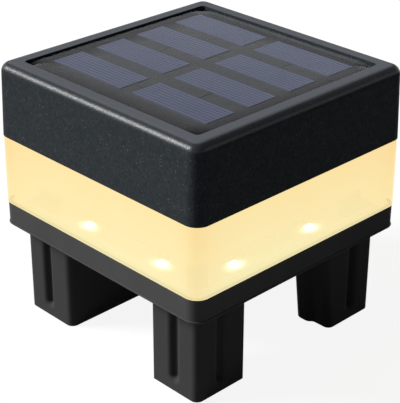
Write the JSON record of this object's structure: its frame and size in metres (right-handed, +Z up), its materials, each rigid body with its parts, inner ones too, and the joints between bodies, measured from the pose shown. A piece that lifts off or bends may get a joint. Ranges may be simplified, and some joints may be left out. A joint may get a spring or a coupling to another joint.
{
  "type": "post cap light",
  "caption": "Square solar post cap light: sunk solar panel, glowing frosted window band, and legs that plug into a hollow square post",
  "frame": {"origin": "centre axis of the square cap, at the level of the legs' feet", "axes": "+Z up; -Y is the side with the left and front legs, +X the side with the front and right legs"},
  "size_m": [0.104, 0.104, 0.0998],
  "materials": {
    "cap_plastic": "fine moulded grain, dark slate",
    "base_plastic": "moulded, near black",
    "window_plastic": "frosted, lit from inside",
    "panel_front": "clear cast resin",
    "panel_backing": "dark solder resist",
    "solar_cell": "blue-grey silicon with fine finger lines",
    "tinned_metal": "tinned ribbon",
    "tape_foam": "black foam",
    "silicone": "grey silicone",
    "white_plastic": "white",
    "circuit_board": "white solder resist",
    "lamp_phosphor": "yellow phosphor resin",
    "chip_plastic": "black moulding compound",
    "capacitor_can": "bare can",
    "connector_plastic": "cream nylon",
    "wire_red": "red insulation",
    "wire_black": "black insulation",
    "screw_steel": "plated steel",
    "spring_steel": "nickel-plated wire",
    "cell_can": "nickel-plated can",
    "cell_sleeve": "plain green shrink sleeve",
    "contact_brass": "bare brass",
    "switch_case": "tinned steel case",
    "switch_lever": "white nylon"
  },
  "bodies": {
    "root": {"top_cover": "cap_plastic", "panel_tape": "tape_foam", "panel_board": "panel_backing", "solar_cells": "solar_cell", "cell_ribbons": "tinned_metal", "panel_cover": "panel_front", "upper_seal": "silicone", "reflector_plate": "white_plastic", "diffuser": "window_plastic", "lower_seal": "silicone", "led_board": "circuit_board", "led_packages": "white_plastic", "led_phosphors": "lamp_phosphor", "control_chip": "chip_plastic", "inductor": "chip_plastic", "capacitor": "capacitor_can", "resistors": "chip_plastic", "panel_socket": "connector_plastic", "panel_plug": "connector_plastic", "panel_wire_red": "wire_red", "panel_wire_black": "wire_black", "base_housing": "base_plastic", "housing_screws": "screw_steel", "board_screws": "screw_steel", "battery_cell": "cell_can", "battery_sleeve": "cell_sleeve", "battery_spring": "spring_steel", "battery_contact": "contact_brass", "battery_wire_red": "wire_red", "battery_wire_black": "wire_black", "switch_wire": "wire_red", "switch_body": "switch_case", "switch_terminals": "contact_brass"},
    "door": {"battery_door": "base_plastic", "door_seal": "silicone", "door_screws": "screw_steel"},
    "slider": {"switch_slider": "switch_lever"}
  },
  "joints": [
    {"name": "battery_door_lift", "type": "slide", "parent": "root", "child": "door", "axis": [0, 0, -1], "range_m": [0, 0.03]},
    {"name": "switch_slide", "type": "slide", "parent": "root", "child": "slider", "axis": [1, 0, 0], "range_m": [0, 0.003]}
  ]
}
